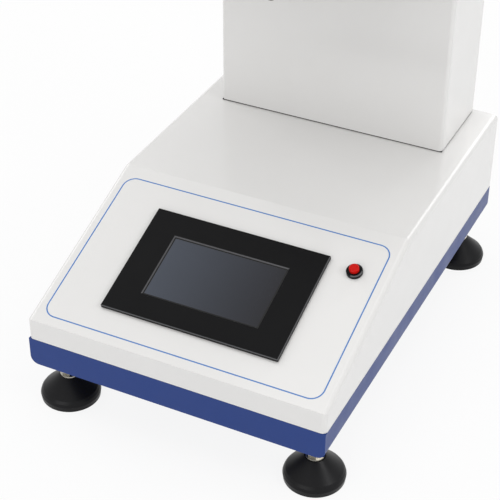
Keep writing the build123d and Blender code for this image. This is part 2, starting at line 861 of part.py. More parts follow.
def ring(low, high, inner, outer):
    # Half section of a ring on the barrel's axis, from two heights and two diameters
    with Locations(((inner + outer) / 4, (low + high) / 2)):
        Rectangle((outer - inner) / 2, high - low)


with BuildPart() as barrel:
    with BuildSketch(axis_plane):
        ring(head_bottom, head_top, barrel_bore, barrel_diameter)
        ring(head_floor, head_floor + barrel_flange_thickness, barrel_bore, barrel_flange_diameter)
    revolve(axis=barrel_axis)
save(barrel.part, "barrel")

heater_low = head_floor + barrel_flange_thickness
heater_inner = barrel_diameter + 2 * hole_gap
heater_outer = heater_inner + 2 * heater_wall
with BuildPart() as heater_sleeve:
    with BuildSketch(axis_plane):
        ring(heater_low, heater_low + heater_length, heater_inner, heater_outer)
    revolve(axis=barrel_axis)
    with BuildSketch(Plane.XY.offset(heater_low + heater_length)):
        with Locations((0, barrel_y + (heater_inner + heater_outer) / 4)):
            Circle(probe_diameter / 2 + hole_gap)
    extrude(amount=-probe_depth - probe_over_depth, mode=Mode.SUBTRACT)
save(heater_sleeve.part, "heater_sleeve")

with BuildPart() as heater_bands:
    with BuildSketch(axis_plane):
        for low in (heater_low + band_end, heater_low + heater_length - band_end - band_length):
            ring(low, low + band_length, heater_outer + hole_gap, heater_outer + 2 * band_wall)
    revolve(axis=barrel_axis)
    # Split along the front, where a band is drawn tight
    with BuildSketch(Plane.XY.offset(heater_low)):
        with Locations((0, barrel_y - heater_outer / 2)):
            Rectangle(band_split, 4 * band_wall)
    extrude(amount=heater_length, mode=Mode.SUBTRACT)
save(heater_bands.part, "heater_bands")

with BuildPart() as insulation:
    with BuildSketch(axis_plane):
        insulation_inner = heater_outer + 2 * band_wall + 2 * hole_gap
        ring(heater_low, heater_low + heater_length, insulation_inner, insulation_diameter)
    revolve(axis=barrel_axis)
save(insulation.part, "insulation")

with BuildPart() as barrel_collar:
    with BuildSketch(axis_plane):
        ring(head_top, head_top + collar_height, collar_bore, collar_diameter)
    revolve(axis=barrel_axis)
    mouth = barrel_collar.edges().filter_by(GeomType.CIRCLE).group_by(Axis.Z)[-1]
    chamfer(mouth.sort_by(SortBy.RADIUS)[0], collar_funnel)
save(barrel_collar.part, "barrel_collar")

with BuildPart() as temperature_probe:
    probe_y = barrel_y + (heater_inner + heater_outer) / 4
    probe_top = heater_low + heater_length
    with BuildSketch(Plane.XY.offset(probe_top + hole_gap)):
        with Locations((0, probe_y)):
            Circle(probe_diameter)
    extrude(amount=probe_head)
    with BuildSketch(Plane.XY.offset(probe_top + hole_gap)):
        with Locations((0, probe_y)):
            Circle(probe_diameter / 2)
    extrude(amount=-probe_depth)
save(temperature_probe.part, "temperature_probe")

with BuildPart() as die:
    with BuildSketch(axis_plane):
        ring(head_bottom, head_bottom + die_length, die_orifice, die_diameter)
    revolve(axis=barrel_axis)
save(die.part, "die")

# Die gate: a plate in two rails; pulled forward, its large hole lets the die drop
gate_top = head_bottom - gate_gap
gate_front = head_front - gate_front_overhang
with BuildPart() as die_gate:
    with BuildSketch(Plane.XY.offset(gate_top)):
        with Locations((0, (gate_front + barrel_y + gate_back) / 2)):
            Rectangle(gate_width, barrel_y + gate_back - gate_front)
        with Locations((0, barrel_y)):
            Circle(gate_sight_diameter / 2, mode=Mode.SUBTRACT)
        with Locations((0, barrel_y + gate_travel)):
            Circle(gate_release_diameter / 2, mode=Mode.SUBTRACT)
    extrude(amount=-gate_thickness)
    with BuildSketch(Plane.XZ.offset(-gate_front)):
        with Locations((0, gate_top - gate_thickness / 2)):
            Circle(knob_diameter / 4)
    extrude(amount=knob_neck)
save(die_gate.part, "die_gate")

with BuildPart() as gate_knob:
    with BuildSketch(Plane.YZ):
        with BuildLine():
            knob_back = gate_front - knob_neck
            knob_front = knob_back - knob_length
            knob_z = gate_top - gate_thickness / 2
            Polyline(
                (knob_back, knob_z),
                (knob_back, knob_z + knob_diameter * 0.3),
                (knob_back - knob_length * 0.35, knob_z + knob_diameter * 0.3),
                (knob_back - knob_length * 0.6, knob_z + knob_diameter / 2),
                (knob_front, knob_z + knob_diameter / 2),
                (knob_front, knob_z),
                close=True,
            )
        make_face()
    revolve(axis=Axis((0, 0, knob_z), (0, 1, 0)))
    chamfer(gate_knob.edges().filter_by(GeomType.CIRCLE).sort_by(Axis.Y)[0], knob_diameter / 10)
save(gate_knob.part, "gate_knob")

with BuildPart() as gate_rails:
    rail_foot = gate_width / 2 + gate_gap
    rail_run = barrel_y + gate_back + gate_travel - head_front
    rail_middle = (barrel_y + gate_back + head_front) / 2
    rail_length = min(rail_run, head_reach - rail_end_margin)
    for side in (-1, 1):
        with BuildSketch(Plane.XZ.offset(-rail_middle)):
            low = gate_top - gate_thickness - gate_gap - rail_thickness
            with Locations((side * (rail_foot + rail_width / 2), (head_bottom + low) / 2)):
                Rectangle(rail_width, head_bottom - low)
            with Locations((side * (rail_foot - rail_hook / 2), low + rail_thickness / 2)):
                Rectangle(rail_hook, rail_thickness)
        extrude(amount=rail_length / 2, both=True)
save(gate_rails.part, "gate_rails")

# Cutter: gear motor in the head, shaft through the plate, blade that sweeps under the die
with BuildPart() as cutter_motor:
    with BuildSketch(Plane.XY.offset(head_floor)):
        with Locations((cutter_offset, barrel_y)):
            Circle(motor_diameter / 2)
            Circle(shaft_diameter / 2 + shaft_fit, mode=Mode.SUBTRACT)
    extrude(amount=gearbox_height)
    with BuildSketch(Plane.XY.offset(head_floor + gearbox_height)):
        with Locations((cutter_offset, barrel_y)):
            Circle(motor_diameter / 2 - gearbox_step)
    extrude(amount=motor_length - gearbox_height)
save(cutter_motor.part, "cutter_motor")

blade_top = head_bottom - cutter_drop
with BuildPart() as cutter_shaft:
    with BuildSketch(Plane.XY.offset(blade_top)):
        with Locations((cutter_offset, barrel_y)):
            Circle(shaft_diameter / 2)
    extrude(amount=head_floor + gearbox_height - hole_gap - blade_top)
save(cutter_shaft.part, "cutter_shaft")

with BuildPart() as cutter_blade:
    with BuildSketch(Plane.XY.offset(blade_top)):
        with BuildLine():
            tip = barrel_y + cutter_reach
            Polyline(
                (cutter_offset - blade_width / 2, barrel_y),
                (cutter_offset - blade_width / 2, tip - blade_width),
                (cutter_offset + blade_width / 2, tip - blade_tip_cut),
                (cutter_offset + blade_width / 2, barrel_y),
                close=True,
            )
        make_face()
        with Locations((cutter_offset, barrel_y)):
            Circle(blade_width / 2)
    extrude(amount=-blade_thickness)
    # Cap screw that clamps the blade to the shaft
    with BuildSketch(Plane.XY.offset(blade_top - blade_thickness)):
        with Locations((cutter_offset, barrel_y)):
            Circle(clamp_screw_diameter / 2)
    extrude(amount=-clamp_screw_height)
    with BuildSketch(Plane.XY.offset(blade_top - blade_thickness - clamp_screw_height)):
        with Locations((cutter_offset, barrel_y)):
            RegularPolygon(clamp_socket, 6)
    extrude(amount=clamp_socket_depth, mode=Mode.SUBTRACT)
save(cutter_blade.part, "cutter_blade")

# Piston, its weight tray and the loose weights
piston_low = head_bottom + die_length + seat_gap
piston_top = piston_low + piston_length
with BuildPart() as piston:
    with BuildSketch(axis_plane):
        ring(piston_low, piston_low + piston_head_length, 0, piston_head_diameter)
        ring(piston_low + piston_head_length, piston_top, 0, piston_rod_diameter)
    revolve(axis=barrel_axis)
save(piston.part, "piston")

tray_low = head_top + collar_height + tray_above_collar
tray_top = tray_low + tray_thickness
stack_height = sum(weight_heights) + len(weight_heights) * seat_gap
with BuildPart() as weight_tray:
    with BuildSketch(axis_plane):
        ring(tray_low - tray_hub_drop, tray_low, piston_rod_diameter, tray_hub_diameter)
        ring(tray_low, tray_top, piston_rod_diameter, tray_diameter)
        ring(tray_top, piston_top, piston_rod_diameter, spigot_diameter)
        ring(piston_top, tray_top + stack_height - spigot_drop, 0, spigot_diameter)
    revolve(axis=barrel_axis)
    chamfer(weight_tray.edges().filter_by(GeomType.CIRCLE).group_by(Axis.Z)[-1], spigot_chamfer)
save(weight_tray.part, "weight_tray")

weight_low = tray_top + seat_gap
for number, height in enumerate(weight_heights, 1):
    top = number == len(weight_heights)
    with BuildPart() as weight:
        with BuildSketch(axis_plane):
            bore = spigot_diameter + 2 * spigot_clearance
            ring(weight_low, weight_low + height, bore, weight_diameter)
            # Finger groove round the rim
            with Locations((weight_diameter / 2, weight_low + height / 2)):
                Rectangle(2 * weight_groove, 2 * weight_groove, rotation=45, mode=Mode.SUBTRACT)
            if top:
                ring(weight_low + height, weight_low + height + lift_knob_height * 0.4,
                     0, lift_knob_diameter * 0.6)
                ring(weight_low + height + lift_knob_height * 0.4,
                     weight_low + height + lift_knob_height, 0, lift_knob_diameter)
                ring(weight_low + height - knob_root, weight_low + height, 0, bore)
        revolve(axis=barrel_axis)
        if top:
            rims = weight.edges().filter_by(GeomType.CIRCLE)
            chamfer(rims.group_by(Axis.Z)[-1], lift_knob_diameter / 10)
    save(weight.part, f"weight_{number}")
    weight_low += height + seat_gap

# Power inlet: flanged shell with its socket, and three pins
inlet_centre = (inlet_x, foot_height + inlet_z)
outside = Plane.XZ.offset(-rear - flange_thickness)
with BuildPart() as power_inlet:
    with BuildSketch(rear_plane):
        with Locations(inlet_centre):
            RectangleRounded(inlet_width, inlet_height, inlet_radius)
    extrude(amount=-flange_thickness)
    with BuildSketch(rear_plane):
        with Locations(inlet_centre):
            Rectangle(
                inlet_width - 2 * inlet_body_inset - 2 * hole_gap,
                inlet_height - 2 * inlet_body_margin - 2 * hole_gap,
            )
    extrude(amount=socket_depth + socket_floor)
    with BuildSketch(outside):
        with Locations(inlet_centre):
            socket = Rectangle(socket_width, socket_height)
            chamfer(socket.vertices().group_by(Axis.Y)[-1], socket_chamfer)
    extrude(amount=socket_depth, mode=Mode.SUBTRACT)
save(power_inlet.part, "power_inlet")

with BuildPart() as inlet_pins:
    with BuildSketch(outside.offset(socket_depth)):
        with Locations(inlet_centre):
            with Locations(*pin_places):
                Rectangle(inlet_pin_width, inlet_pin_height)
    extrude(amount=-socket_depth + pin_recess)
save(inlet_pins.part, "inlet_pins")

# Fuse holder: body in the wall and a carrier that pulls out
fuse_centre = (inlet_x, foot_height + fuse_z)
with BuildPart() as fuse_holder:
    with BuildSketch(rear_plane):
        with Locations(fuse_centre):
            Circle(fuse_diameter / 2 + fuse_flange_lap)
            Circle(fuse_diameter / 2 - fuse_wall + hole_gap, mode=Mode.SUBTRACT)
    extrude(amount=-fuse_flange)
    with BuildSketch(rear_plane):
        with Locations(fuse_centre):
            Circle(fuse_diameter / 2)
            Circle(fuse_diameter / 2 - fuse_wall + hole_gap, mode=Mode.SUBTRACT)
    extrude(amount=fuse_length)
save(fuse_holder.part, "fuse_holder")

with BuildPart() as fuse_carrier:
    with BuildSketch(rear_plane.offset(-fuse_flange - hole_gap)):
        with Locations(fuse_centre):
            Circle(fuse_diameter / 2)
    extrude(amount=-rear_proud + fuse_flange + hole_gap)
    with BuildSketch(rear_plane.offset(-rear_proud)):
        with Locations(fuse_centre):
            Rectangle(fuse_diameter * 0.7, fuse_slot_width)
    extrude(amount=fuse_slot_depth, mode=Mode.SUBTRACT)
    with BuildSketch(rear_plane.offset(-fuse_flange - hole_gap)):
        with Locations(fuse_centre):
            Circle(fuse_diameter / 2 - fuse_wall)
    extrude(amount=fuse_length - fuse_flange)
save(fuse_carrier.part, "fuse_carrier")

# Mains switch: frame and a rocker on trunnions
switch_centre = (switch_x, foot_height + inlet_z)
with BuildPart() as switch_frame:
    with BuildSketch(rear_plane):
        with Locations(switch_centre):
            RectangleRounded(switch_width, switch_height, switch_radius)
    extrude(amount=-flange_thickness)
    with BuildSketch(rear_plane):
        with Locations(switch_centre):
            Rectangle(
                switch_width - 2 * switch_inset - 2 * hole_gap,
                switch_height - 2 * switch_inset - 2 * hole_gap,
            )
    extrude(amount=switch_body)
    with BuildSketch(outside):
        with Locations(switch_centre):
            Rectangle(rocker_width + 2 * hole_gap, rocker_height + 2 * rocker_gap)
    extrude(amount=rocker_pocket, mode=Mode.SUBTRACT)
    with BuildSketch(Plane.YZ.offset(switch_x)):
        with Locations((rear + rocker_axis, foot_height + inlet_z)):
            Circle(trunnion_diameter / 2 + shaft_fit)
    extrude(amount=rocker_width / 2 + trunnion_length + hole_gap, both=True, mode=Mode.SUBTRACT)
save(switch_frame.part, "switch_frame")

with BuildPart() as power_rocker:
    with BuildSketch(Plane.YZ.offset(switch_x)):
        with BuildLine():
            half = rocker_height / 2
            mid = foot_height + inlet_z
            low_drop, middle_drop, high_drop = rocker_drops
            high_tilt = sin(radians(rocker_angle)) * half
            Polyline(
                (rear + rocker_axis - rocker_back, mid - rocker_back_half),
                (rear + rocker_axis, mid - half),
                (rear + rear_proud - low_drop, mid - half),
                (rear + rear_proud - middle_drop, mid),
                (rear + rear_proud - high_drop - high_tilt, mid + half),
                (rear + rocker_axis, mid + half),
                (rear + rocker_axis - rocker_back, mid + rocker_back_half),
                close=True,
            )
        make_face()
    extrude(amount=rocker_width / 2, both=True)
    with BuildSketch(Plane.YZ.offset(switch_x)):
        with Locations((rear + rocker_axis, mid)):
            Circle(trunnion_diameter / 2)
    extrude(amount=rocker_width / 2 + trunnion_length, both=True)
save(power_rocker.part, "power_rocker")

# Fan: square frame inside the wall, rotor on its hub, wire guard outside
fan_centre = (fan_x, fan_z)
fan_inner = rear - sheet
with BuildPart() as fan_frame:
    with BuildSketch(Plane.XZ.offset(-fan_inner)):
        with Locations(fan_centre):
            Rectangle(fan_size, fan_size)
            Circle(fan_size / 2 - fan_wall, mode=Mode.SUBTRACT)
    extrude(amount=fan_depth)
    with BuildSketch(Plane.XZ.offset(-fan_inner + fan_depth)):
        with Locations(fan_centre):
            Circle(fan_hub_diameter / 2)
            Rectangle(fan_size - fan_wall, fan_arm)
            Rectangle(fan_arm, fan_size - fan_wall)
    extrude(amount=-fan_arm_depth)
    with BuildSketch(Plane.XZ.offset(-fan_inner + fan_depth - fan_arm_depth)):
        with Locations(fan_centre):
            Circle(axle_diameter / 2)
    extrude(amount=-axle_length)
save(fan_frame.part, "fan_frame")

rotor_back = fan_inner - fan_depth + fan_arm_depth + fan_gap
rotor_front = fan_inner - 2 * fan_gap
with BuildPart() as fan_rotor:
    with BuildSketch(Plane.XZ.offset(-rotor_back)):
        with Locations(fan_centre):
            Circle(fan_hub_diameter / 2)
    extrude(amount=rotor_back - rotor_front)
    with BuildSketch(Plane.XZ.offset(-rotor_back)):
        with Locations(fan_centre):
            Circle(axle_diameter / 2 + shaft_fit)
    extrude(amount=-axle_length, mode=Mode.SUBTRACT)
    rotor_middle = (rotor_back + rotor_front) / 2
    blade_root = fan_hub_diameter / 2 - fan_wall
    blade_tip = fan_size / 2 - fan_wall - 2 * fan_gap
    for turn in range(fan_blades):
        hub_plane = Plane(
            origin=(fan_x, rotor_middle, fan_z),
            x_dir=(0, 1, 0),
            z_dir=(cos(radians(360 / fan_blades * turn)), 0, sin(radians(360 / fan_blades * turn))),
        )
        with BuildSketch(hub_plane.offset(blade_root)):
            Rectangle(fan_chord, fan_blade_thickness, rotation=fan_pitch)
        extrude(amount=blade_tip - blade_root)
save(fan_rotor.part, "fan_rotor")

with BuildPart() as fan_guard:
    guard_face = rear_plane.offset(-guard_wire)
    with BuildSketch(guard_face):
        with Locations(fan_centre):
            for radius in guard_rings:
                Circle(radius)
                Circle(radius - guard_wire, mode=Mode.SUBTRACT)
    extrude(amount=-guard_wire)
    with BuildSketch(rear_plane):
        with Locations(fan_centre):
            Rectangle(fan_size * 1.3, guard_wire, rotation=45)
            Rectangle(fan_size * 1.3, guard_wire, rotation=-45)
            with PolarLocations(fan_size * 0.65, 4, start_angle=45):
                Circle(guard_eye)
    extrude(amount=-guard_wire)
save(fan_guard.part, "fan_guard")

# Electronics on the tray floor
with BuildPart() as power_supply:
    with Locations((supply_x, rear - supply_from_rear, tray_floor)):
        Box(*supply_size, align=(Align.CENTER, Align.CENTER, Align.MIN))
    vent_face = power_supply.faces().sort_by(Axis.Z)[-1]
    with BuildSketch(Plane(vent_face)):
        with GridLocations(*supply_vent_pitch, *supply_vent_count):
            Rectangle(*supply_vent_size)
    extrude(amount=-supply_vent_depth, mode=Mode.SUBTRACT)
save(power_supply.part, "power_supply")

with BuildPart() as control_board:
    board_low = tray_floor + standoff_height
    board_middle = (board_x, board_y, board_low)
    with Locations(board_middle):
        Box(*board_size, align=(Align.CENTER, Align.CENTER, Align.MIN))
        with GridLocations(
            board_size[0] - 2 * board_post_inset, board_size[1] - 2 * board_post_inset, 2, 2
        ):
            Box(
                board_post_width,
                board_post_width,
                standoff_height,
                align=(Align.CENTER, Align.CENTER, Align.MAX),
            )
    with BuildSketch(Plane.XY.offset(board_low + board_size[2])):
        with Locations((board_x, board_y)):
            with Locations(*chip_places):
                Rectangle(chip_size, chip_size)
            with Locations(terminal_place):
                Rectangle(*terminal_size)
            with Locations(*capacitor_places):
                Rectangle(*capacitor_size)
    extrude(amount=board_part_height)
save(control_board.part, "control_board")

with BuildPart() as heater_relay:
    with Locations((relay_x, board_y, tray_floor)):
        Box(relay_size[0], relay_size[1], relay_base, align=(Align.CENTER, Align.CENTER, Align.MIN))
    with BuildSketch(Plane.XY.offset(tray_floor + relay_base)):
        with Locations((relay_x, board_y)):
            with GridLocations(0, relay_size[1] / relay_fins, 1, relay_fins):
                Rectangle(relay_size[0], relay_fin_thickness)
    extrude(amount=relay_size[2] - relay_base)
save(heater_relay.part, "heater_relay")
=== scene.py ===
import math

import bmesh
import bpy
from mathutils import Matrix, Vector


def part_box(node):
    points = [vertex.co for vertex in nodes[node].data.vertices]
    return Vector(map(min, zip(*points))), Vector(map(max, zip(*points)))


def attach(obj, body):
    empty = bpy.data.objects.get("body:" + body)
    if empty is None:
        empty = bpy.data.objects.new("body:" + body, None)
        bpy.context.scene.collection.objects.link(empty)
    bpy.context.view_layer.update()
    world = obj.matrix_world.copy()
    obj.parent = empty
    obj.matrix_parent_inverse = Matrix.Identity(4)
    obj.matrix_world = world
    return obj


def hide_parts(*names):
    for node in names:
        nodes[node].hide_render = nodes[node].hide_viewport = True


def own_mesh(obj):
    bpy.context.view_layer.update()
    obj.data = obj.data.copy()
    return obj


# Bench melt flow tester: finishes, printed panel line, return spring, camera and lights.
# Metres, +Z up, +X to the right, the operator's side faces -Y.

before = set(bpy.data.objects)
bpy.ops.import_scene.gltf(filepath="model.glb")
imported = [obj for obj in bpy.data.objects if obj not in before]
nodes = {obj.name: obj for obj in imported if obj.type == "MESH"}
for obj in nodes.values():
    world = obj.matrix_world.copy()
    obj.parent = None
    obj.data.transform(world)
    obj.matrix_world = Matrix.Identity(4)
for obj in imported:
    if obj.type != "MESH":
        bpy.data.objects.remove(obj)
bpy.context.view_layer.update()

MM = 0.001
CORNERS = ("front_left", "front_right", "rear_left", "rear_right")

# Console: heights above the tray's underside, and the run of the sloping panel
FOLD_UP = 65.2 * MM
DECK_UP = 147.7 * MM
FOLD_RUN = 235.3 * MM

# Touch screen: clear window, its middle up the slope, and a black line of painted shade on the
# glass round the window's edge
WINDOW_WIDTH = 148.0 * MM
WINDOW_HEIGHT = 86.5 * MM
WINDOW_UP = 118.25 * MM
BORDER = 1.6 * MM
BORDER_FADE = 0.2  # share of the border over which it fades in

# Printed line round the panel, measured from the panel's middle and from the front fold
LINE_HALF = 176.7 * MM
LINE_LOW = 11.75 * MM
LINE_HIGH = 231.8 * MM
LINE_WIDTH = 1.6 * MM
LINE_RADIUS = 16.0 * MM
PRINT_RISE = 0.06 * MM

# Return spring under the button's cap, with its heights above the panel
BUTTON_X = 146.4 * MM
BUTTON_UP = 185.0 * MM
SPRING_FOOT = -4.15 * MM
SPRING_HEAD = 1.15 * MM
SPRING_RADIUS = 4.6 * MM
SPRING_TURNS = 3
WIRE_RADIUS = 0.35 * MM

# Camera solved from the straight edges of the console
CAMERA_AZIMUTH = math.radians(25.89)
CAMERA_ELEVATION = math.radians(34.97)
CAMERA_ROLL = math.radians(0.32)
CAMERA_DISTANCE = 1.6117
CAMERA_TARGET = Vector((0.0397, -0.1625, 0.2256))
CAMERA_REACH = 30
FOCAL_PIXELS = 1427.5
PICTURE_PIXELS = 500
SENSOR = 36.0

# Studio: white surroundings, a pale floor and five soft lights
WORLD_LIGHT = 0.66
WORLD_SEEN = 0.98
FLOOR_HALF = 25.0
FLOOR_DROP = 0.2 * MM
FLOOR_TONE = 0.86
FLOOR_GLOW_SHARE = 0.88
LIGHTS = (
    # name, place, point it faces, width, height, watts
    ("key_right", (2.4, -0.4, 1.8), (0, 0, 0.25), 1.0, 0.8, 16),
    ("top_soft", (0.2, -0.1, 3.0), (0, 0, 0.2), 3.0, 2.4, 14),
    ("front_fill", (-0.4, -3.1, 1.4), (0, 0.1, 0.3), 2.2, 1.2, 22),
    ("left_back", (-2.3, 0.5, 1.9), (0, 0, 0.2), 1.6, 1.2, 12),
    ("back_fill", (0.4, 3.0, 1.9), (0, 0.1, 0.3), 2.0, 1.2, 18),
)

# Nearly all values of a soft random pattern lie between these two
PATTERN_LOW, PATTERN_HIGH = 0.3, 0.7
# How squarely a bevel faces the lit side where its painted highlight starts, and where it is full
HIGHLIGHT_START, HIGHLIGHT_FULL = 0.76, 0.84

COLOUR, NUMBER, DIRECTION = "NodeSocketColor", "NodeSocketFloat", "NodeSocketVector"
SKIN = (("Colour", COLOUR), ("Roughness", NUMBER), ("Height", NUMBER))


def axes_matrix(x_axis, y_axis, z_axis, origin):
    """The matrix of a frame with these axes and this origin."""
    matrix = Matrix((x_axis, y_axis, z_axis)).transposed().to_4x4()
    matrix.translation = origin
    return matrix


# Panel frame: x to the right, y up the slope, z out of the panel, from the front fold
cover_low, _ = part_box("console_cover")
tray_low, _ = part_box("base_tray")
panel_origin = Vector((0, cover_low.y, tray_low.z + FOLD_UP))
panel_right = Vector((1, 0, 0))
panel_up = Vector((0, FOLD_RUN, DECK_UP - FOLD_UP)).normalized()
panel_out = panel_right.cross(panel_up)
panel_frame = axes_matrix(panel_right, panel_up, panel_out, panel_origin)


def feed(tree, value, slot):
    """Gives a slot its value: another node's socket, a number, or a colour of three numbers."""
    if isinstance(value, bpy.types.NodeSocket):
        tree.links.new(value, slot)
    elif slot.type == "RGBA":
        slot.default_value = (*value[:3], 1)
    else:
        slot.default_value = value


def add(tree, kind, settings=None, **slots):
    """A new node with its settings made and its named slots fed."""
    node = tree.nodes.new(kind)
    for key, value in (settings or {}).items():
        setattr(node, key, value)
    for label, value in slots.items():
        feed(tree, value, node.inputs[label.replace("_", " ")])
    return node


def ramp(tree, source, low, high, to_low=0.0, to_high=1.0):
    """source, rescaled from low..high to to_low..to_high and held within it."""
    return add(tree, "ShaderNodeMapRange", Value=source, From_Min=low, From_Max=high,
               To_Min=to_low, To_Max=to_high).outputs["Result"]


def calc(tree, operation, *values):
    """The result of one operation on numbers or sockets that carry them."""
    node = add(tree, "ShaderNodeMath", {"operation": operation})
    for slot, value in zip(node.inputs, values):
        feed(tree, value, slot)
    return node.outputs["Value"]


def calc_vectors(tree, operation, first, second):
    """The result of one operation on two directions or places."""
    node = add(tree, "ShaderNodeVectorMath", {"operation": operation})
    feed(tree, first, node.inputs[0])
    feed(tree, second, node.inputs[1])
    return node.outputs["Value" if operation == "DOT_PRODUCT" else "Vector"]


def object_place(tree):
    """Where a point lies on the object, in metres."""
    return add(tree, "ShaderNodeTexCoord").outputs["Object"]


def clouds(tree, place, scale, detail):
    """A soft random pattern; a larger scale makes it finer."""
    return add(tree, "ShaderNodeTexNoise", Vector=place, Scale=scale, Detail=detail).outputs["Fac"]


def full_clouds(tree, place, scale, detail, to_low=0.0, to_high=1.0):
    """The same pattern, stretched to run from to_low to to_high."""
    return ramp(tree, clouds(tree, place, scale, detail), PATTERN_LOW, PATTERN_HIGH,
                to_low, to_high)


def tinted(tree, colour, factor, other):
    """colour mixed towards other by factor."""
    node = add(tree, "ShaderNodeMix", {"data_type": "RGBA"})
    mix_factor, mix_from, mix_to = node.inputs[0], node.inputs[6], node.inputs[7]
    feed(tree, colour, mix_from)
    feed(tree, other, mix_to)
    feed(tree, factor, mix_factor)
    return node.outputs[2]


def dimmed(tree, colour, loss):
    """colour with its brightness cut by loss."""
    return add(tree, "ShaderNodeHueSaturation", Color=colour,
               Value=calc(tree, "SUBTRACT", 1.0, loss)).outputs["Color"]


def new_group(name, inputs, outputs=SKIN):
    """An empty shader group with named sockets, and its two end nodes."""
    group = bpy.data.node_groups.new(name, "ShaderNodeTree")
    for label, kind, value in inputs:
        socket = group.interface.new_socket(label, in_out="INPUT", socket_type=kind)
        if value is not None:
            socket.default_value = value
    for label, kind in outputs:
        group.interface.new_socket(label, in_out="OUTPUT", socket_type=kind)
    start = group.nodes.new("NodeGroupInput")
    end = group.nodes.new("NodeGroupOutput")
    return group, start.outputs, end.inputs


def build_coat_group():
    """Sprayed or moulded skin: soft blotches of tone, uneven gloss and a fine ripple."""
    tree, given, made = new_group("sprayed_coat", (
        ("Colour", COLOUR, None), ("Tone", NUMBER, 0.03), ("Gloss", NUMBER, 0.25),
        ("Ripple", NUMBER, 0.5), ("Scale", NUMBER, 500.0),
    ))
    place = object_place(tree)
    blotches = full_clouds(tree, place, 9.0, 3.0)
    shade = calc(tree, "MULTIPLY", blotches, given["Tone"])
    feed(tree, dimmed(tree, given["Colour"], shade), made["Colour"])
    smears = full_clouds(tree, place, 30.0, 4.0, to_low=0.9, to_high=1.15)
    feed(tree, calc(tree, "MULTIPLY", given["Gloss"], smears), made["Roughness"])
    ripples = clouds(tree, place, given["Scale"], 2.0)
    feed(tree, calc(tree, "MULTIPLY", ripples, given["Ripple"]), made["Height"])
    return tree


def build_brush_group():
    """Brushing lines along one direction: streaked tone, streaked gloss and shallow scratches."""
    tree, given, made = new_group("brushed_lines", (
        ("Colour", COLOUR, None), ("Stretch", DIRECTION, (1, 1, 1)), ("Scale", NUMBER, 900.0),
        ("Gloss", NUMBER, 0.3), ("Contrast", NUMBER, 0.2),
    ))
    stretched = calc_vectors(tree, "MULTIPLY", object_place(tree), given["Stretch"])
    streaks = full_clouds(tree, stretched, given["Scale"], 3.0)
    loss = calc(tree, "MULTIPLY", streaks, given["Contrast"])
    feed(tree, dimmed(tree, given["Colour"], loss), made["Colour"])
    feed(tree, calc(tree, "MULTIPLY_ADD", loss, 0.8, given["Gloss"]), made["Roughness"])
    feed(tree, streaks, made["Height"])
    return tree


def build_turned_group():
    """Lathe marks round an upright axis at a given place."""
    tree, given, made = new_group("turned_marks", (
        ("Colour", COLOUR, None), ("Centre", DIRECTION, (0, 0, 0)), ("Scale", NUMBER, 2500.0),
        ("Gloss", NUMBER, 0.2),
    ))
    from_axis = calc_vectors(tree, "SUBTRACT", object_place(tree), given["Centre"])
    parts = add(tree, "ShaderNodeSeparateXYZ", Vector=from_axis).outputs
    square = calc(tree, "ADD", calc(tree, "POWER", parts["X"], 2.0),
                  calc(tree, "POWER", parts["Y"], 2.0))
    section = add(tree, "ShaderNodeCombineXYZ", X=calc(tree, "SQRT", square), Y=parts["Z"])
    marks = full_clouds(tree, section.outputs["Vector"], given["Scale"], 2.0)
    dulled = calc(tree, "MULTIPLY", marks, 0.25)
    feed(tree, tinted(tree, given["Colour"], dulled, (0.35, 0.34, 0.33)), made["Colour"])
    feed(tree, calc(tree, "MULTIPLY_ADD", marks, 0.14, given["Gloss"]), made["Roughness"])
    feed(tree, marks, made["Height"])
    return tree


def build_bevel_group():
    """Painted highlight: bevels that turn to the lit side show paler than the flat face."""
    tree, given, made = new_group("bevel_highlight", (
        ("Colour", COLOUR, None), ("Rubbed", COLOUR, None), ("Side", DIRECTION, (0, 0, 1)),
    ), outputs=(("Colour", COLOUR),))
    facing = add(tree, "ShaderNodeTexCoord").outputs["Normal"]
    # Painted highlight: a paler colour on the bevels that face the lamps
    highlighted = ramp(tree, calc_vectors(tree, "DOT_PRODUCT", facing, given["Side"]),
                HIGHLIGHT_START, HIGHLIGHT_FULL)
    feed(tree, tinted(tree, given["Colour"], highlighted, given["Rubbed"]), made["Colour"])
    return tree


coat_group = build_coat_group()
brush_group = build_brush_group()
turned_group = build_turned_group()
bevel_group = build_bevel_group()


def new_material(name, **even):
    """A new material, its tree and its shader; even holds what is the same all over."""
    material = bpy.data.materials.new(name)
    material.use_nodes = True
    tree = material.node_tree
    shader = tree.nodes["Principled BSDF"]
    for label, value in even.items():
        shader.inputs[label.replace("_", " ")].default_value = value
    return material, tree, shader


def place_group(tree, group, **values):
    return add(tree, "ShaderNodeGroup", {"node_tree": group}, **values).outputs


def raise_relief(tree, shader, height, strength, depth):
    """Lets a height show as fine relief, depth metres at full strength."""
    relief = add(tree, "ShaderNodeBump", Strength=strength, Distance=depth, Height=height)
    feed(tree, relief.outputs["Normal"], shader.inputs["Normal"])


def use_skin(tree, shader, group, strength, depth, **values):
    """Colour, roughness and relief of a surface from one of the shared groups."""
    skin = place_group(tree, group, **values)
    feed(tree, skin["Colour"], shader.inputs["Base Color"])
    feed(tree, skin["Roughness"], shader.inputs["Roughness"])
    raise_relief(tree, shader, skin["Height"], strength, depth)


def painted(name, colour, gloss, tone=0.02, coat=0.35, shine=0.5):
    material, tree, shader = new_material(name, Coat_Weight=coat, Coat_Roughness=0.15,
                                          Specular_IOR_Level=shine)
    use_skin(tree, shader, coat_group, strength=0.05, depth=0.06 * MM, Colour=colour,
             Tone=tone, Gloss=gloss, Ripple=1.0, Scale=420.0)
    return material


def moulded(name, colour, gloss, scale=1800.0, bump=0.25, shine=0.2):
    material, tree, shader = new_material(name, Specular_IOR_Level=shine)
    use_skin(tree, shader, coat_group, strength=bump, depth=0.06 * MM, Colour=colour,
             Tone=0.18, Gloss=gloss, Ripple=1.0, Scale=scale)
    return material


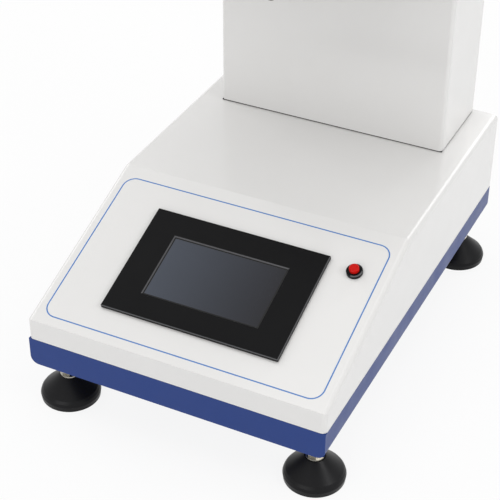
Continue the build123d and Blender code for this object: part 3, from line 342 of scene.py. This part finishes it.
def brushed(name, colour, stretch, gloss=0.26):
    material, tree, shader = new_material(name, Metallic=1.0)
    use_skin(tree, shader, brush_group, strength=0.12, depth=0.03 * MM, Colour=colour,
             Stretch=stretch, Gloss=gloss, Contrast=0.16)
    return material


def turned(name, colour, centre, gloss=0.16):
    material, tree, shader = new_material(name, Metallic=1.0)
    use_skin(tree, shader, turned_group, strength=0.10, depth=0.02 * MM, Colour=colour,
             Centre=centre, Gloss=gloss)
    return material


def plated(name, colour, gloss):
    material, tree, shader = new_material(name, Metallic=1.0)
    use_skin(tree, shader, coat_group, strength=0.05, depth=0.05 * MM, Colour=colour,
             Tone=0.12, Gloss=gloss, Ripple=1.0, Scale=350.0)
    return material


def bezel_material():
    """Satin black moulding with a painted highlight that makes its right and lower bevels paler
    than its face.
    """
    material, tree, shader = new_material("bezel_black", Specular_IOR_Level=0.1)
    # The side the lamps light, whose bevels get the painted highlight
    lit_side = (panel_right - panel_up) / 2 + panel_out * 0.707
    edge = place_group(tree, bevel_group, Colour=(0.003, 0.003, 0.0035),
                       Rubbed=(0.11, 0.11, 0.115), Side=lit_side)
    use_skin(tree, shader, coat_group, strength=0.25, depth=0.06 * MM, Colour=edge["Colour"],
             Tone=0.18, Gloss=0.34, Ripple=1.0, Scale=1800.0)
    return material


def screen_glass_material():
    """Touch glass over a display that is off: smooth, with a painted reflection that makes it
    paler towards its left end.
    """
    material, tree, shader = new_material("screen_glass", Specular_IOR_Level=0.38)
    place = object_place(tree)
    across = add(tree, "ShaderNodeSeparateXYZ", Vector=place).outputs["X"]
    low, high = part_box("hmi_glass")
    # Painted reflection: the glass colour runs from paler at the left end to darker at the right
    reflection_fade = ramp(tree, across, low.x, high.x)
    shade = tinted(tree, (0.052, 0.062, 0.084), reflection_fade, (0.004, 0.004, 0.008))
    # Painted shade: a black line on the glass just inside the window, where the glass meets the
    # bezel's step
    middle = panel_origin.dot(panel_up) + WINDOW_UP
    up_slope = calc(tree, "SUBTRACT", calc_vectors(tree, "DOT_PRODUCT", place, panel_up), middle)
    edges = []
    for offset, half in ((across, WINDOW_WIDTH / 2), (up_slope, WINDOW_HEIGHT / 2)):
        distance = calc(tree, "ABSOLUTE", offset)
        edges.append(ramp(tree, distance, half - BORDER, half - BORDER * (1 - BORDER_FADE)))
    bordered = tinted(tree, shade, calc(tree, "MAXIMUM", *edges), (0.001, 0.001, 0.001))
    use_skin(tree, shader, coat_group, strength=0.01, depth=0.02 * MM, Colour=bordered,
             Tone=0.10, Gloss=0.10, Ripple=0.3, Scale=60.0)
    return material


def fibre_material():
    """Matt, lumpy blanket of ceramic fibre."""
    material, tree, shader = new_material("ceramic_fibre")
    use_skin(tree, shader, coat_group, strength=0.6, depth=0.6 * MM, Colour=(0.72, 0.69, 0.60),
             Tone=0.25, Gloss=0.9, Ripple=1.0, Scale=700.0)
    return material


def board_material():
    """Circuit board: green lacquer with paler copper lines under it."""
    material, tree, shader = new_material("circuit_board", Roughness=0.35)
    lines = add(tree, "ShaderNodeTexBrick", Vector=object_place(tree), Scale=60.0,
                Color1=(0.02, 0.16, 0.07), Color2=(0.03, 0.20, 0.09), Mortar=(0.10, 0.34, 0.14),
                Mortar_Size=0.03).outputs
    feed(tree, lines["Color"], shader.inputs["Base Color"])
    raise_relief(tree, shader, lines["Fac"], strength=0.3, depth=0.2 * MM)
    return material


barrel_low, barrel_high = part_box("barrel")
barrel_centre = (barrel_low + barrel_high) / 2
ALONG_X = (0.02, 1.0, 1.0)

white_coat = painted("white_powder_coat", (0.735, 0.728, 0.717), 0.34, coat=0.9)
blue_coat = painted("blue_powder_coat", (0.004, 0.034, 0.195), 0.36, tone=0.05, coat=0.0,
                    shine=0.35)
black_bezel = bezel_material()
black_plastic = moulded("moulded_black", (0.016, 0.016, 0.017), 0.42)
dark_plastic = moulded("moulded_dark_grey", (0.04, 0.04, 0.043), 0.5)
pad_plastic = moulded("foot_black", (0.008, 0.008, 0.009), 0.35, bump=0.1, shine=0.15)
black_rubber = moulded("black_rubber", (0.014, 0.014, 0.014), 0.75, scale=900.0, bump=0.5)
red_plastic = moulded("button_red", (0.57, 0.007, 0.004), 0.35, bump=0.05, shine=0.12)
stainless = brushed("stainless_plate", (0.50, 0.495, 0.485), ALONG_X)
stainless_bands = brushed("stainless_bands", (0.46, 0.45, 0.43), ALONG_X, gloss=0.32)
zinc = plated("zinc_plate", (0.50, 0.49, 0.45), 0.35)
nickel = plated("bright_nickel", (0.46, 0.44, 0.39), 0.18)
spring_wire = plated("spring_wire", (0.5, 0.5, 0.5), 0.25)
brass = plated("inlet_brass", (0.75, 0.55, 0.25), 0.22)
aluminium = brushed("milled_aluminium", (0.74, 0.74, 0.75), ALONG_X, gloss=0.34)
tool_steel = turned("tool_steel", (0.36, 0.36, 0.37), barrel_centre)
weight_steel = turned("weight_steel", (0.43, 0.43, 0.44), barrel_centre, gloss=0.14)
fibre = fibre_material()
board = board_material()
screen_glass = screen_glass_material()

FINISH = {
    white_coat: ("console_cover", "column_shell", "column_rear_cover", "head_housing"),
    blue_coat: ("base_tray",),
    black_bezel: ("hmi_bezel", "button_collar"),
    black_plastic: ("gate_knob", "power_inlet", "fuse_holder", "fuse_carrier", "switch_frame",
                    "power_rocker"),
    dark_plastic: ("hmi_case", "button_contacts", "cutter_motor", "fan_frame", "fan_rotor",
                   "heater_relay", "hmi_display"),
    pad_plastic: [f"foot_pad_{corner}" for corner in CORNERS],
    black_rubber: ("hmi_gasket", "column_gasket"),
    red_plastic: ("button_cap",),
    stainless: ("head_plate", "head_lid", "die_gate", "gate_rails", "cutter_blade",
                "temperature_probe"),
    stainless_bands: ("heater_bands",),
    zinc: ("case_screws", "hmi_clamps", "foot_inserts", "column_spine"),
    nickel: ("fan_guard", "button_nut", *(f"foot_stud_{corner}" for corner in CORNERS)),
    spring_wire: ("button_spring",),
    brass: ("inlet_pins",),
    aluminium: ("power_supply", "heater_sleeve"),
    tool_steel: ("barrel", "die", "cutter_shaft", "piston"),
    weight_steel: ("weight_tray", "weight_1", "weight_2", "weight_3", "barrel_collar"),
    fibre: ("insulation",),
    board: ("control_board",),
    screen_glass: ("hmi_glass",),
}
for material, names in FINISH.items():
    for name in names:
        nodes[name].data.materials.clear()
        nodes[name].data.materials.append(material)


def new_object(name, data):
    thing = bpy.data.objects.new(name, data)
    bpy.context.scene.collection.objects.link(thing)
    return thing


def mesh_piece(name, mesh, material, body):
    """A finished piece with its material, riding on a body."""
    piece = new_object(name, mesh)
    mesh.materials.append(material)
    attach(piece, body)
    return piece


def panel_ring(shape, spots):
    """Vertices at spots that are given on the panel's frame."""
    return [shape.verts.new(panel_frame @ Vector(spot)) for spot in spots]


def join_rings(shape, first, second):
    """Quads between two rings with as many vertices."""
    for k in range(len(first)):
        n = (k + 1) % len(first)
        shape.faces.new((first[k], first[n], second[n], second[k]))


def finished_mesh(name, shape):
    bmesh.ops.recalc_face_normals(shape, faces=shape.faces)
    mesh = bpy.data.meshes.new(name)
    shape.to_mesh(mesh)
    shape.free()
    return mesh


def rounded_loop(x0, y0, x1, y1, radius, steps=16):
    """Corner points of a rectangle with round corners, counter-clockwise."""
    loop = []
    corners = ((x1 - radius, y0 + radius, -90), (x1 - radius, y1 - radius, 0),
               (x0 + radius, y1 - radius, 90), (x0 + radius, y0 + radius, 180))
    for cx, cy, start in corners:
        for step in range(steps + 1):
            angle = math.radians(start + 90 * step / steps)
            loop.append((cx + radius * math.cos(angle), cy + radius * math.sin(angle)))
    return loop


def flat_band(name, outer, inner, low, high):
    """A closed flat ring between two outlines on the panel, from one height to another."""
    shape = bmesh.new()
    rings = [
        panel_ring(shape, [(x, y, height) for x, y in outline])
        for outline, height in ((outer, low), (outer, high), (inner, high), (inner, low))
    ]
    for first, second in zip(rings, rings[1:] + rings[:1]):
        join_rings(shape, first, second)
    return finished_mesh(name, shape)


def coil(name, low, high, radius, wire, turns, steps=36, sides=8):
    """A coil of round wire that stands on the panel at the button, with closed ends."""
    shape = bmesh.new()
    count = turns * steps
    rings = []
    for k in range(count + 1):
        angle = math.tau * k / steps
        height = low + wire + (high - low - 2 * wire) * k / count
        outward = Vector((math.cos(angle), math.sin(angle), 0))
        centre = Vector((BUTTON_X, BUTTON_UP, height)) + outward * radius
        around = [math.tau * side / sides for side in range(sides)]
        rings.append(panel_ring(shape, [
            centre + outward * wire * math.cos(turn) + Vector((0, 0, wire * math.sin(turn)))
            for turn in around
        ]))
    for first, second in zip(rings, rings[1:]):
        join_rings(shape, first, second)
    for face in shape.faces:
        face.smooth = True
    shape.faces.new(rings[0])
    shape.faces.new(rings[-1][::-1])
    return finished_mesh(name, shape)


line_ink = painted("panel_ink", (0.055, 0.190, 0.500), 0.35, coat=0.0)
outer_line = rounded_loop(-LINE_HALF, LINE_LOW, LINE_HALF, LINE_HIGH, LINE_RADIUS)
inner_line = rounded_loop(-LINE_HALF + LINE_WIDTH, LINE_LOW + LINE_WIDTH, LINE_HALF - LINE_WIDTH,
                          LINE_HIGH - LINE_WIDTH, LINE_RADIUS - LINE_WIDTH)
mesh_piece("printed_line", flat_band("printed_line", outer_line, inner_line, 0.0, PRINT_RISE),
           line_ink, "frame")

# The return spring under the cap, a coil that stands in for the hidden button_spring
return_spring = mesh_piece(
    "return_spring",
    coil("return_spring", SPRING_FOOT, SPRING_HEAD, SPRING_RADIUS, WIRE_RADIUS, SPRING_TURNS),
    spring_wire, "frame")
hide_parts("button_spring")
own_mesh(return_spring)


def place_camera():
    back = Vector((math.sin(CAMERA_AZIMUTH) * math.cos(CAMERA_ELEVATION),
                   -math.cos(CAMERA_AZIMUTH) * math.cos(CAMERA_ELEVATION),
                   math.sin(CAMERA_ELEVATION)))
    level = Vector((math.cos(CAMERA_AZIMUTH), math.sin(CAMERA_AZIMUTH), 0))
    upright = back.cross(level)
    right = level * math.cos(CAMERA_ROLL) + upright * math.sin(CAMERA_ROLL)
    data = bpy.data.cameras.new("camera")
    data.sensor_width = SENSOR
    data.lens = FOCAL_PIXELS / PICTURE_PIXELS * SENSOR
    data.clip_end = CAMERA_REACH
    camera = new_object("camera", data)
    camera.matrix_world = axes_matrix(right, back.cross(right), back,
                                      CAMERA_TARGET + back * CAMERA_DISTANCE)
    bpy.context.scene.camera = camera


def soft_light(name, spot, aim, width, height, power):
    data = bpy.data.lights.new(name, "AREA")
    data.shape = "RECTANGLE"
    data.size = width
    data.size_y = height
    data.energy = power
    lamp = new_object(name, data)
    lamp.location = spot
    lamp.rotation_euler = (Vector(aim) - Vector(spot)).to_track_quat("-Z", "Y").to_euler()


def seen_white(tree):
    """1 where the lens, a gloss or a glass sees the surface, and 0 for light that bounces."""
    path = add(tree, "ShaderNodeLightPath").outputs
    return calc(tree, "MAXIMUM", path["Is Camera Ray"],
                calc(tree, "MAXIMUM", path["Is Glossy Ray"], path["Is Transmission Ray"]))


def build_world():
    world = bpy.data.worlds.new("studio")
    world.use_nodes = True
    tree = world.node_tree
    shade = tree.nodes["Background"]
    feed(tree, (1, 1, 1), shade.inputs["Color"])
    feed(tree, ramp(tree, seen_white(tree), 0.0, 1.0, WORLD_LIGHT, WORLD_SEEN),
         shade.inputs["Strength"])
    bpy.context.scene.world = world


def build_floor():
    far = FLOOR_HALF
    mesh = bpy.data.meshes.new("floor")
    mesh.from_pydata([(-far, -far, 0), (far, -far, 0), (far, far, 0), (-far, far, 0)],
                     [], [(0, 1, 2, 3)])
    floor = new_object("floor", mesh)
    floor.location.z = -FLOOR_DROP
    material, tree, shader = new_material("pale_floor")
    tree.nodes.remove(shader)
    matte = add(tree, "ShaderNodeBsdfDiffuse", Color=(FLOOR_TONE, FLOOR_TONE, FLOOR_TONE))
    glow = add(tree, "ShaderNodeEmission", Strength=1.0)
    both = add(tree, "ShaderNodeMixShader",
               Fac=calc(tree, "MULTIPLY", seen_white(tree), FLOOR_GLOW_SHARE))
    feed(tree, matte.outputs["BSDF"], both.inputs[1])
    feed(tree, glow.outputs["Emission"], both.inputs[2])
    feed(tree, both.outputs["Shader"], tree.nodes["Material Output"].inputs["Surface"])
    mesh.materials.append(material)


place_camera()
for light in LIGHTS:
    soft_light(*light)
build_world()
build_floor()
bpy.context.scene.view_settings.view_transform = "Standard"
